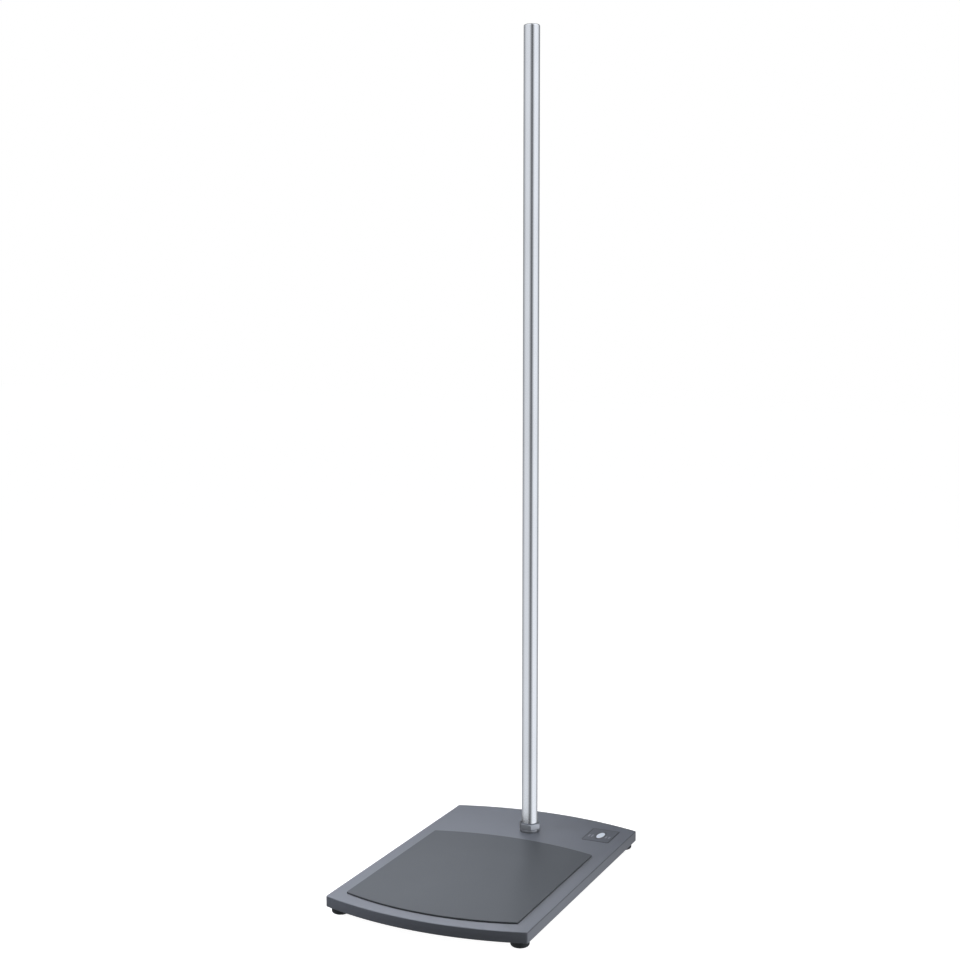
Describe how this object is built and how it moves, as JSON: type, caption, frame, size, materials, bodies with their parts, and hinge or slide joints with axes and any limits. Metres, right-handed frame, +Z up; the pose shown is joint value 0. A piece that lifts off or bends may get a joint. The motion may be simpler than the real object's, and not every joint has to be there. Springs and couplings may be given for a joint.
{
  "type": "laboratory plate stand",
  "caption": "Laboratory support stand: heavy flat base plate with bowed ends and an anti-slip mat, and a tall round rod screwed upright into it behind the mat.",
  "frame": {"origin": "centre of the base on the surface that the feet stand on", "axes": "+Z up along the rod, -Y towards the front, where the mat is, +X to the right seen from the front"},
  "size_m": [0.2, 0.316, 0.825],
  "materials": {
    "powder_coat": "satin powder coat with a fine grain, mid grey with a cool cast",
    "mat": "matt anti-slip sheet with a very fine texture",
    "adhesive": "thin translucent adhesive film",
    "label": null,
    "polished_steel": "bright drawn and polished stainless steel",
    "nut_steel": "plated steel, fine turned marks",
    "zinc_steel": "zinc plated steel",
    "foot_rubber": "black moulded rubber"
  },
  "bodies": {
    "base": {"base_plate": "powder_coat", "anti_slip_mat": "mat", "mat_adhesive": "adhesive", "label": "label", "foot_front_left": "foot_rubber", "foot_washer_front_left": "zinc_steel", "foot_screw_front_left": "zinc_steel", "foot_front_right": "foot_rubber", "foot_washer_front_right": "zinc_steel", "foot_screw_front_right": "zinc_steel", "foot_rear_left": "foot_rubber", "foot_washer_rear_left": "zinc_steel", "foot_screw_rear_left": "zinc_steel", "foot_rear_right": "foot_rubber", "foot_washer_rear_right": "zinc_steel", "foot_screw_rear_right": "zinc_steel"},
    "washer": {"lock_washer": "nut_steel"},
    "rod": {"support_rod": "polished_steel", "lock_nut": "nut_steel"}
  },
  "joints": [
    {"name": "rod_rise", "type": "slide", "parent": "base", "child": "washer", "axis": [0, 0, 1], "range_m": [0, 0.00875]},
    {"name": "rod_turn", "type": "hinge", "parent": "washer", "child": "rod", "pos_m": [0, 0.099, 0.0165], "axis": [0, 0, 1], "range_deg": [0, 1801]}
  ],
  "couplings": [
    {"joint": "rod_turn", "follows": "rod_rise", "rad_per_m": 3590.4}
  ]
}
